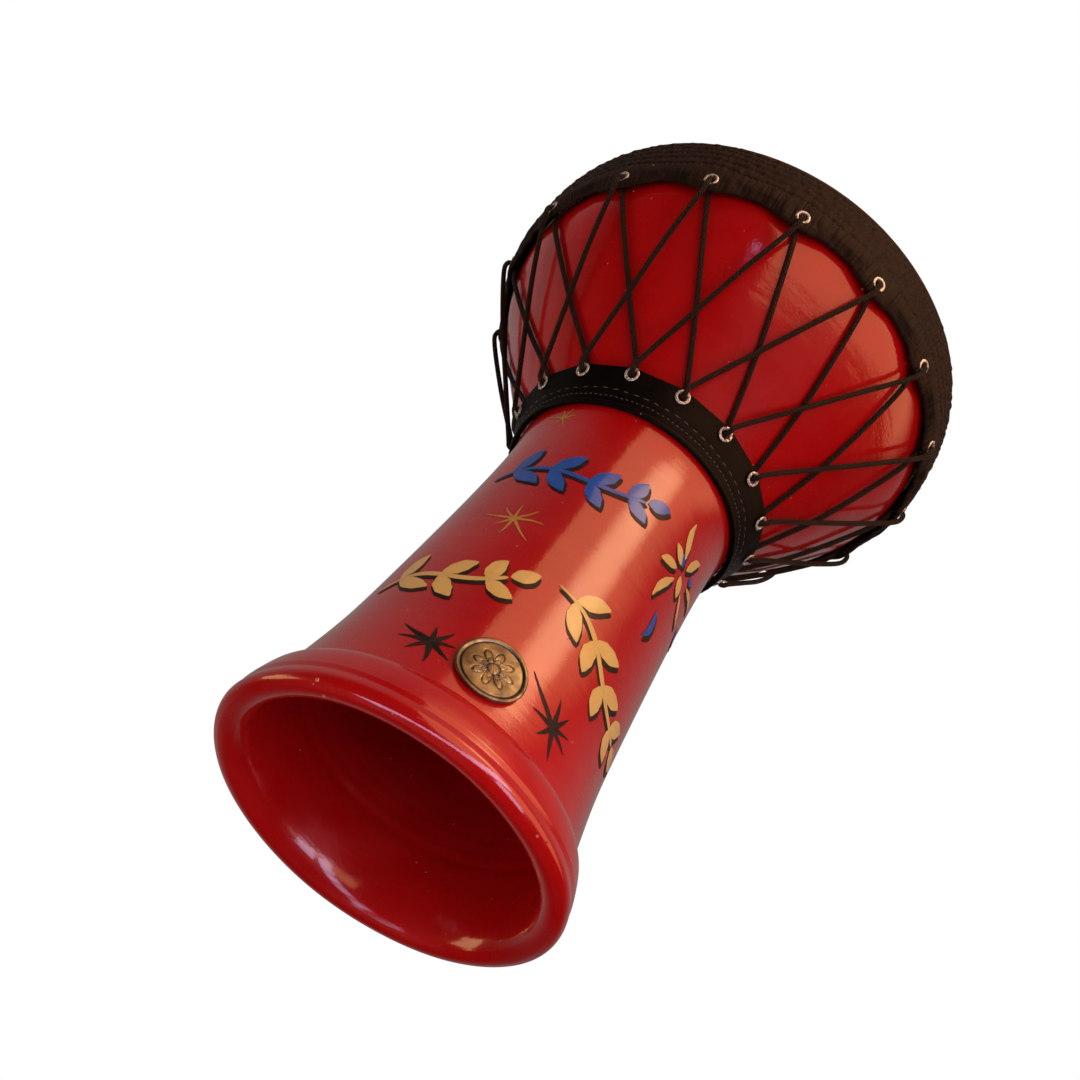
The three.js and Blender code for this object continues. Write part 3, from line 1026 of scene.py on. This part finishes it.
def lacing_route(first):
    """The points that a cord follows, its knot's middle and the way that the cord runs there."""
    turns = []
    for i in range(PITCHES + 1):
        row, side = (UPPER, 1) if i % 2 else (LOWER, -1)
        turns.append(turn_through(row, first + KNOT["turn"] + i, side))

    def leg(i, shares):
        rise = CORD["under"] if i % 2 else CORD["over"]
        return [on_leg(turns[i][-1], turns[i + 1][0], share, rise) for share in shares]

    knot = leg(0, [KNOT["share"]])[0]
    first_leg = leg(0, CLIMBING)
    along = (first_leg[0] - knot) / np.linalg.norm(first_leg[0] - knot)
    points = [knot + along * KNOT["reach"], *first_leg]
    for i in range(1, PITCHES):
        points += [*turns[i], *leg(i, DESCENDING if i % 2 else CLIMBING)]
    points += [*turns[0], knot - along * KNOT["reach"]]
    return points, knot, along


def tube(name, path, radius, sides):
    """A round tube along a path in mm. Its UV map has u round it from 0 to 1, and v along it in metres."""
    ahead = headings(path)
    side = np.cross(ahead[0], (0.3, 0.5, 0.8))
    rings = []
    for tangent, point in zip(ahead, path):
        side = side - tangent * side.dot(tangent)
        side /= np.linalg.norm(side)
        other = np.cross(tangent, side)
        angles = np.arange(sides) * TURN / sides
        rings.append(point + radius * (np.outer(np.cos(angles), side) + np.outer(np.sin(angles), other)))
    count = len(path)
    faces = []
    for i in range(count - 1):
        for k in range(sides):
            low, high = i * sides, (i + 1) * sides
            faces.append((low + k, low + (k + 1) % sides, high + (k + 1) % sides, high + k))
    faces += [tuple(range(sides))[::-1], tuple(range((count - 1) * sides, count * sides))]
    mesh = bpy.data.meshes.new(name)
    mesh.from_pydata((np.vstack(rings) * MM).tolist(), [], faces)
    length = distances(path) * MM
    layer = mesh.uv_layers.new(name="UVMap")
    uv = []
    for i in range(count - 1):
        for k in range(sides):
            low, high = length[i], length[i + 1]
            uv += [(k / sides, low), ((k + 1) / sides, low), ((k + 1) / sides, high), (k / sides, high)]
    uv += [(0.5, 0)] * (2 * sides)
    layer.data.foreach_set("uv", np.array(uv, np.float32).ravel())
    return linked(name, mesh)


class DRUM_OT_lacing(bpy.types.Operator):
    """Lace both braided cords through the eyelets, and tie each in a knot at the back"""

    bl_idname = "drum.lacing"
    bl_label = "Lacing"

    def execute(self, context):
        material = braided_cord()
        step = context.scene.drum_sizes.cord_step / MM
        for letter, first in (("a", 0), ("b", 1)):
            points, knot, along = lacing_route(first)
            cord = tube("braided_cord_" + letter, route(points, step), CORD["radius"], 12)
            keep(cord, material, "braided_cord", "lacing_cord_" + letter, degrees=80)
            tied = self.knot("braided_knot_" + letter, knot, along)
            keep(tied, material, "braided_cord", "lacing_knot_" + letter, degrees=80)
        return {"FINISHED"}

    def knot(self, name, middle, along):
        """A barrel knot: three wraps round the joined ends, which run on through it."""
        side = np.cross(along, middle / np.linalg.norm(middle))
        side /= np.linalg.norm(side)
        out = np.cross(side, along)
        angles = np.linspace(0, WRAPS["turns"] * TURN, WRAPS["steps"] + 1)
        travel = np.linspace(-WRAPS["half"], WRAPS["half"], WRAPS["steps"] + 1)
        wraps = middle + np.outer(travel, along)
        wraps = wraps + WRAPS["radius"] * (np.outer(np.cos(angles), side) + np.outer(np.sin(angles), out))
        core = middle + np.outer(np.linspace(-KNOT["half"], KNOT["half"], 11), along)
        return joined(name, [tube(name, wraps, 1.45, 10), tube("core", core, 1.5, 10)])


# ---- medallion ----
class DRUM_OT_medallion(bpy.types.Operator):
    """Strike the brass medallion with a raised rim and a plain rosette, and bend it to the neck"""

    bl_idname = "drum.medallion"
    bl_label = "Medallion"

    def execute(self, context):
        radius, field, plate, rim = (MEDALLION[key] for key in ("radius", "field", "plate", "rim"))
        steps = np.linspace(field - 0.5, 0, 34)
        face = [(r, plate) for r in steps]
        edge = spline([(radius, 0.3), (radius, rim - 0.5), (radius - 0.5, rim), (field + 0.6, rim)], 3)
        outline = [(0, 0), (radius * 0.5, 0), (radius - 0.3, 0), *edge, (field + 0.1, rim - 0.3), *face]
        badge = turned("brass_medallion", outline, 160)
        co = places(badge)
        angle, r, height = polar(co)
        relief = np.where(r > field, 1.0, self.rosette(angle, r))
        co[:, 2] += np.where((height > 1) & (r < field), relief * 0.75 - 0.4, 0)
        relief = np.where(height < 0.2, 0.4, relief)
        mark(badge, "relief", relief)
        z = MEDALLION["z"] + co[:, 1]
        seat = clay_radius(MEDALLION["z"]) + 2 * GAP
        azimuth = MEDALLION["azimuth"] + co[:, 0] / seat
        put(badge, from_polar(azimuth, clay_radius(z) + 2 * GAP + co[:, 2], z))
        keep(badge, aged_brass(), "aged_brass", "medallion", degrees=30)
        return {"FINISHED"}

    def rosette(self, angle, r):
        """Height of the struck face from 0 to 1: a plain field with a ring of petals round a boss."""
        petals = 10.6 * np.abs(np.cos(4 * angle)) ** 0.5
        height = 0.55 - 0.5 * bell(r - petals, 0.45) + 0.3 * (r < petals)
        height = height - 0.35 * bell(r - 0.6 * petals, 0.3) * (r < petals)
        height = height - 0.5 * bell(r - 15.6, 0.4)
        height = height + 0.3 * bell(r, 2.4) - 0.5 * bell(r - 3.2, 0.35)
        return np.clip(height, 0, 1)


# ---- brushed ornaments ----
# Branches: colour, (azimuth, z) of the stem's start and end, how far it bows, its half width, how many pairs
# of leaves it has, and a leaf's length and half width.
BRANCHES = [
    ("blue", (-148, 192), (-76, 212), 4, 1.5, 4, 25, 4.6),
    ("ochre", (-152, 90), (-103, 114), 4, 1.6, 3, 24, 4.6),
    ("ochre", (-86, 127), (-26, 92), 4, 1.6, 4, 24, 4.7),
]
LEAF_TURN = 46  # angle between a leaf and its stem, in degrees
LEAF_SHRINK = 0.3  # share of its length that a leaf at the tip has lost
PETALS = [  # colour, the way it points in degrees, start, end, half width
    ("ochre", 108, 8, 32, 2.8),
    ("ochre", 58, 6, 25, 3.0),
    ("ochre", 150, 4, 17, 3.0),
    ("ochre", 205, 6, 22, 3.0),
    ("ochre", 250, 9, 34, 2.6),
    ("ochre", -62, 2, 15, 3.4),
    ("ochre", -38, 12, 31, 1.6),
    ("ochre", 2, 12, 33, 1.8),
    ("blue", 125, 3, 11, 1.8),
    ("blue", 30, 12, 17, 2.6),
    ("blue", 266, 34, 55, 2.2),
    ("blue", -20, 34, 48, 2.0),
]
BURST = (-41, 203)  # what the petals point away from
# Stars: colour, centre, half width of an arm, and each arm's angle and length.
STARS = [
    (
        "gold",
        (-118.5, 155.6),
        0.75,
        ((8, 17), (48, 14), (95, 12), (140, 12), (178, 18), (222, 11), (265, 14), (318, 20)),
    ),
    (
        "gold",
        (-137, 250.5),
        0.6,
        ((12, 9), (60, 8), (110, 7), (170, 13), (235, 8), (300, 8), (350, 7)),
    ),
    (
        "black",
        (-109.2, 54),
        1.5,
        ((15, 11), (62, 13), (104, 11), (158, 18), (188, 15), (232, 12), (284, 15), (330, 14)),
    ),
    (
        "black",
        (-59.6, 56.3),
        1.4,
        ((20, 11), (66, 14), (100, 17), (141, 27), (182, 13), (240, 12), (286, 17), (335, 12)),
    ),
]
# Paints: the colour where the bristles leave it thin, how far it lies over the clay in mm, and its coat.
PAINTS = {
    "blue": ("1A58B0", 0.26, 0.7),
    "ochre": ("DDB66C", 0.26, 0.7),
    "gold": ("C08C3E", 0.14, 0.7),
    "black": ("1A0D09", 0.12, 0.12),
}
PAINT_DOME = 0.06  # how much higher a stroke is in its middle, in mm
PAINT_FILM = 0.1  # thickness of the paint, in mm
SHADOW = {"blue": (2.1, -1.9), "ochre": (1.3, -2.3)}  # how far the black under a colour is shifted, in mm
SHADOW_MARGIN = 0.45  # how much wider than its stroke a shadow is on each side, in mm
REVERSE = 178  # turn of the second set of ornaments, on the side that faces away, in degrees
PLANE = 74  # radius at which a degree of azimuth is measured in mm


class DRUM_OT_ornaments(bpy.types.Operator):
    """Leafy branches, petals and stars brushed on the neck, the coloured ones over a black shadow"""

    bl_idname = "drum.ornaments"
    bl_label = "Brushed ornaments"

    def execute(self, context):
        lifts = {name: lift for name, (_, lift, _) in PAINTS.items()}
        dabs = {name: [] for name in PAINTS}
        for turn in (0, REVERSE):
            for name, points, widths in self.strokes():
                points = [(azimuth + turn, z) for azimuth, z in points]
                dabs[name].append(self.stroke(points, widths, lifts[name]))
                if name in SHADOW:
                    swollen = [w + SHADOW_MARGIN for w in widths]
                    dabs["black"].append(self.stroke(points, swollen, lifts["black"], SHADOW[name]))
        for name, (light, _, coat) in PAINTS.items():
            material = brushed_paint(name + "_brushed", getattr(colours(), name), linear(light), coat)
            paint = joined("painted_" + name, dabs[name])
            keep(paint, material, "red_painted_clay", degrees=60)
        return {"FINISHED"}

    def strokes(self):
        made = []
        for name, *shape in BRANCHES:
            made += [(name, points, widths) for points, widths in self.branch(*shape)]
        for name, angle, start, stop, half in PETALS:
            made.append((name, self.ray(BURST, angle, start, stop), self.leaf_widths(half)))
        for name, centre, half, arms in STARS:
            for angle, length in arms:
                widths = (half * 1.1, half, half * 0.6, 0.15)
                made.append((name, self.ray(centre, angle, -1.5, length), widths))
        return made

    def leaf_widths(self, half):
        return half * 0.25, half, half * 0.9, half * 0.15

    def branch(self, start, end, bow, half, pairs, length, leaf):
        """A bowed stem, pairs of leaves that shrink along it and one leaf at its tip, as (points, widths)."""
        degree = math.radians(PLANE)
        start, end = (np.array((azimuth * degree, z)) for azimuth, z in (start, end))
        way = end - start
        side = np.array((-way[1], way[0])) / np.hypot(*way)

        def place(share):
            x, z = start + way * share + side * bow * math.sin(math.tau * share)
            return x / degree, z

        def heading(share):
            x, z = way + side * bow * math.tau * math.cos(math.tau * share)
            return math.degrees(math.atan2(z, x))

        made = [([place(share) for share in np.linspace(0, 1, 9)], (half * 0.4, half, half, half * 0.7))]
        turns = [((k + 0.5) / pairs, turn) for k in range(pairs) for turn in (-LEAF_TURN, LEAF_TURN)]
        for share, turn in turns + [(1, 0)]:
            points = self.ray(place(share), heading(share) + turn, 1, length * (1 - LEAF_SHRINK * share))
            made.append((points, self.leaf_widths(leaf)))
        return made

    def ray(self, centre, angle, start, stop):
        """Points (azimuth, z) along a slightly bowed line that leaves a centre at an angle."""
        points = []
        for share in (0, 1 / 3, 2 / 3, 1):
            reach = start + (stop - start) * share
            turn = math.radians(angle + 5 * math.sin(share * math.pi) * math.sin(angle))
            degrees = math.degrees(reach * math.cos(turn) / PLANE)
            points.append((centre[0] + degrees, centre[1] + reach * math.sin(turn)))
        return points

    def stroke(self, points, widths, lift, shift=(0, 0)):
        """A brush stroke: a grid of paint that follows its points over the clay, with rounded ends."""
        flat = np.array([(math.radians(azimuth) * PLANE, z) for azimuth, z in points]) + shift
        length = np.linalg.norm(np.diff(flat, axis=0), axis=1).sum()
        count = int(min(60, max(10, length / 1.6)))
        deselect()
        bpy.ops.mesh.primitive_grid_add(x_subdivisions=count, y_subdivisions=6, size=2)
        dab = bpy.context.object
        co = places(dab) * MM
        share, across = (co[:, 0] + 1) / 2, co[:, 1]
        fine = spline(flat, 24)
        along = distances(fine)
        share = share * along[-1]
        middle = np.column_stack([np.interp(share, along, fine[:, k]) for k in (0, 1)])
        ahead = np.gradient(fine, axis=0)
        ahead = np.column_stack([np.interp(share, along, ahead[:, k]) for k in (0, 1)])
        ahead /= np.linalg.norm(ahead, axis=1)[:, None]
        half = np.interp(share / along[-1], np.linspace(0, 1, len(widths)), widths)
        from_end = np.minimum(share, along[-1] - share)
        cap = np.clip(from_end / np.maximum(half, 0.3), 0, 1)
        half = half * np.sqrt(np.clip(1 - (1 - cap) ** 2, 0.004, 1))
        uneven = 1 + 0.04 * np.sin(share * 0.35 + across * 2.1) + 0.015 * np.sin(share * 1.1 + flat[0][0])
        half = half * uneven
        plane = middle + to_left(ahead) * (across * half)[:, None]
        azimuth, z = plane[:, 0] / PLANE, plane[:, 1]
        dome = PAINT_DOME * (1 - across**2)
        put(dab, from_polar(azimuth, clay_radius(z) + lift + dome, z))
        film = dab.modifiers.new("film", "SOLIDIFY")
        film.thickness = PAINT_FILM * MM
        film.offset = 1 if self.faces_out(dab) else -1
        apply_all(dab)
        edit(("normals_make_consistent", {"inside": False}))
        return dab

    def faces_out(self, dab):
        face = dab.data.polygons[len(dab.data.polygons) // 2]
        return face.normal.dot(face.center * Vector((1, 1, 0))) > 0


# ---- stage ----
CAMERA_PLACE = Vector((0.0497, -0.6744, -0.3568))
CAMERA_RIGHT = Vector((0.8331, -0.2980, 0.4661))
CAMERA_DOWN = Vector((0.5469, 0.5707, -0.6126))
CAMERA_AHEAD = Vector((-0.0834, 0.7652, 0.6384))
LENS, SENSOR = 52.49, 36  # in mm
# Lamps: size across and up, power, colour, place by the camera's right, up and back from the drum's middle,
# and whether gloss mirrors them.
LAMPS = (
    ("warm_wall", 0.7, 0.7, 5.8, "FFCFA6", (0.6, 0.72, -0.12), False),
    ("warm_side", 1.0, 1.0, 3.5, "FFC79A", (1.2, 0.1, -0.9), False),
    ("side_lamp", 0.5, 0.9, 5.0, "FFC894", (-1.7, 0.3, 0.1), True),
    ("near_window", 0.13, 0.13, 0.3, "D8D2FF", (0.195, -0.157, 0.438), True),
    ("high_window", 0.09, 0.14, 0.12, "CFC4FF", (0.16, 1.15, 1.35), True),
    ("soft_front", 2.0, 1.6, 25, "FFE9DC", (1.0, 0.3, 1.6), False),
    ("soft_mouth", 1.2, 1.2, 8, "FFF0E4", (-1.2, -0.8, 1.1), False),
    ("soft_back", 2.0, 2.0, 14, "FFF4EA", (-0.9, 0.9, -1.4), False),
)
# A row of narrow lamps in an arc before the mouth, which show only as gloss on the lip. The lip's place and
# the way that the arc runs are given by the camera's right, up and back.
LIP = (-0.054, -0.088, 0.205)
LIP_ARC = (0.957, 0.289, 0.0)
LIP_REACH = 0.4  # from the lip to each lamp
LIP_TURNS = (-50, -30, -10, 10, 30, 50, 68)  # where each lamp is along the arc, in degrees
LIP_LAMP = (0.14, 0.11, 0.03, "D8D2FF")  # size across and up, power, colour
LIP_SPREAD = 56  # in degrees
FLOOR = {"size": 8, "z": -0.4, "near": 0.3, "far": 1.3}  # z in mm; it turns white from near to far
FLOOR_PALE = (0.86, 0.855, 0.85)
FLOOR_WHITE = (0.35, 1.0)  # share of white near the drum and far from it
FILL_TINT = (1.0, 0.93, 0.87, 1)
FILL_POWER = 0.22
# What the gloss mirrors, each with its way by the camera's right, up and back, and where it starts and is
# whole: a warm wall between two edges and an end, a bright place on it, and dim air.
WALL_EDGES = (((0.527, 0.753, -0.393), 0.047, 0.087), ((0.953, -0.301, 0.031), 0.0, 0.04))
WALL_END = ((0, 0, 1), -0.34, -0.04)
WALL_GLOW = (2.5, 1.15, 0.55, 1)
BRIGHT_WAY = ((0.785, 0.62, 0.02), 0.968, 1.0)
BRIGHT_GLOW = (7.5, 4.4, 2.3, 1)
AIR_WAY = ((0.0, 0.2, -0.98), 0.05, 0.7)
AIR_GLOW = (0.24, 0.2, 0.19, 1)


def by_camera(way):
    """A world direction from one given by the camera's right, up and back."""
    return CAMERA_RIGHT * way[0] - CAMERA_DOWN * way[1] - CAMERA_AHEAD * way[2]


class DRUM_OT_stage(bpy.types.Operator):
    """Set the camera, the floor, the lamps and the pale surroundings"""

    bl_idname = "drum.stage"
    bl_label = "Stage"

    def execute(self, context):
        self.camera(context)
        self.floor()
        self.lamps()
        self.world(context)
        context.scene.view_settings.view_transform = "Standard"
        return {"FINISHED"}

    def camera(self, context):
        data = bpy.data.cameras.new("camera")
        data.lens, data.sensor_width = LENS, SENSOR
        data.clip_start, data.clip_end = 0.05, 30
        camera = linked("camera", data)
        turn = turned_to(CAMERA_RIGHT, -CAMERA_DOWN, -CAMERA_AHEAD)
        camera.matrix_world = Matrix.Translation(CAMERA_PLACE) @ turn
        context.scene.camera = camera

    def floor(self):
        """A pale floor that fades to white. Only the camera sees it, and only from above, so that the open
        foot can be seen from below."""
        deselect()
        bpy.ops.mesh.primitive_plane_add(size=FLOOR["size"], location=(0, 0, FLOOR["z"] * MM))
        floor = bpy.context.object
        floor.name = "floor"
        f = Finish("pale_floor", Base_Color=FLOOR_PALE, Roughness=0.9, Specular_IOR_Level=0.1)
        away = f.node("VectorMath", {0: f.coords.outputs["Object"]}, operation="LENGTH").outputs["Value"]
        fading = {"Value": away, "From Min": FLOOR["near"], "From Max": FLOOR["far"]}
        fading |= {"To Min": FLOOR_WHITE[0], "To Max": FLOOR_WHITE[1]}
        share = f.node("MapRange", fading, interpolation_type="SMOOTHSTEP").outputs["Result"]
        pale = f.node("MixShader", {0: share, 1: f.shader.outputs[0], 2: f.node("Emission").outputs[0]})
        seen = f.node("LightPath").outputs["Is Camera Ray"]
        behind = f.node("NewGeometry").outputs["Backfacing"]
        clear = f.node("BsdfTransparent").outputs[0]
        mix = f.node("MixShader", {0: f.calc("SUBTRACT", seen, behind), 1: clear, 2: pale.outputs[0]})
        feed(f.tree, f.tree.nodes["Material Output"], {"Surface": mix.outputs[0]})
        floor.data.materials.append(f.material)

    def lamp(self, name, across, up, power, tint):
        data = bpy.data.lights.new(name, "AREA")
        data.shape = "RECTANGLE"
        data.size, data.size_y = across, up
        data.energy = power
        data.color = linear(tint)
        lamp = linked(name, data)
        lamp.visible_camera = False
        return lamp

    def lamps(self):
        middle = (CAD_BOX[0] + CAD_BOX[1]) / 2
        for *shape, place, mirrored in LAMPS:
            lamp = self.lamp(*shape)
            lamp.location = middle + by_camera(place)
            lamp.visible_glossy = mirrored
            lamp.rotation_euler = (middle - lamp.location).to_track_quat("-Z", "Y").to_euler()
        run, back = by_camera(LIP_ARC), by_camera((0, 0, 1))
        for number, turn in enumerate(LIP_TURNS):
            lamp = self.lamp("lip_lamp_%d" % (number + 1), *LIP_LAMP)
            lamp.data.spread = math.radians(LIP_SPREAD)
            lamp.visible_diffuse = False
            c, s = math.cos(math.radians(turn)), math.sin(math.radians(turn))
            out = (run * s + back * c).normalized()
            along = (run * c - back * s).normalized()
            place = Matrix.Translation(middle + by_camera(LIP) + out * LIP_REACH)
            lamp.matrix_world = place @ turned_to(along, out.cross(along), out)

    def world(self, context):
        """White behind the drum, a warm wall that its gloss mirrors, and a plain soft light on it."""
        world = bpy.data.worlds.new("pale_room")
        context.scene.world = world
        world.use_nodes = True
        tree = world.node_tree
        tree.nodes.clear()

        def node(kind, inputs=None, **settings):
            return add_node(tree, kind, inputs, **settings)

        view = node("TexCoord").outputs["Generated"]

        def toward(way, low, high):
            reach = node("VectorMath", {0: view, 1: by_camera(way)}, operation="DOT_PRODUCT").outputs["Value"]
            inputs = {"Value": reach, "From Min": low, "From Max": high}
            return node("MapRange", inputs, interpolation_type="SMOOTHSTEP").outputs["Result"]

        def both(a, b):
            return node("Math", {0: a, 1: b}, operation="MULTIPLY").outputs[0]

        def over(share, below, glow):
            return node("Mix", {0: share, 6: below, 7: glow}, data_type="RGBA").outputs[2]

        wall = both(both(toward(*WALL_EDGES[0]), toward(*WALL_EDGES[1])), toward(*WALL_END))
        glow = over(toward(*AIR_WAY), (0, 0, 0, 1), AIR_GLOW)
        glow = over(toward(*BRIGHT_WAY), over(wall, glow, WALL_GLOW), BRIGHT_GLOW)
        room = node("Background", {"Color": glow, "Strength": 1.0})
        white = node("Background", {"Color": (1, 1, 1, 1), "Strength": 1.0})
        fill = node("Background", {"Color": FILL_TINT, "Strength": FILL_POWER})
        path = node("LightPath")
        ways = {0: path.outputs["Is Glossy Ray"], 1: path.outputs["Is Transmission Ray"]}
        mirrored = node("Math", ways, operation="MAXIMUM")
        lit = node("MixShader", {0: mirrored.outputs[0], 1: fill.outputs[0], 2: room.outputs[0]})
        shown = node("MixShader", {0: path.outputs["Is Camera Ray"], 1: lit.outputs[0], 2: white.outputs[0]})
        node("OutputWorld", {"Surface": shown.outputs[0]})


OPERATORS = (
    DRUM_OT_stage,
    DRUM_OT_clay_body,
    DRUM_OT_head,
    DRUM_OT_skirt,
    DRUM_OT_neck_band,
    DRUM_OT_eyelets,
    DRUM_OT_lacing,
    DRUM_OT_medallion,
    DRUM_OT_ornaments,
)


class DRUM_PT_maker(bpy.types.Panel):
    """Sizes, colours and pieces of the drum"""

    bl_label = "Goblet drum"
    bl_idname = "DRUM_PT_maker"
    bl_space_type = "VIEW_3D"
    bl_region_type = "UI"
    bl_category = "Drum"

    def draw(self, context):
        for group in (context.scene.drum_sizes, context.scene.drum_colours):
            for name in group.bl_rna.properties.keys():
                if name not in ("rna_type", "name"):
                    self.layout.prop(group, name)
        for operator in OPERATORS:
            self.layout.operator(operator.bl_idname)


CLASSES = (DrumSizes, DrumColours, *OPERATORS, DRUM_PT_maker)


def register():
    for cls in CLASSES:
        bpy.utils.register_class(cls)
    bpy.types.Scene.drum_sizes = bpy.props.PointerProperty(type=DrumSizes)
    bpy.types.Scene.drum_colours = bpy.props.PointerProperty(type=DrumColours)


def unregister():
    del bpy.types.Scene.drum_colours
    del bpy.types.Scene.drum_sizes
    for cls in reversed(CLASSES):
        bpy.utils.unregister_class(cls)


def main():
    register()
    for operator in OPERATORS:
        group, name = operator.bl_idname.split(".")
        getattr(getattr(bpy.ops, group), name)()


if __name__ == "__main__":
    main()
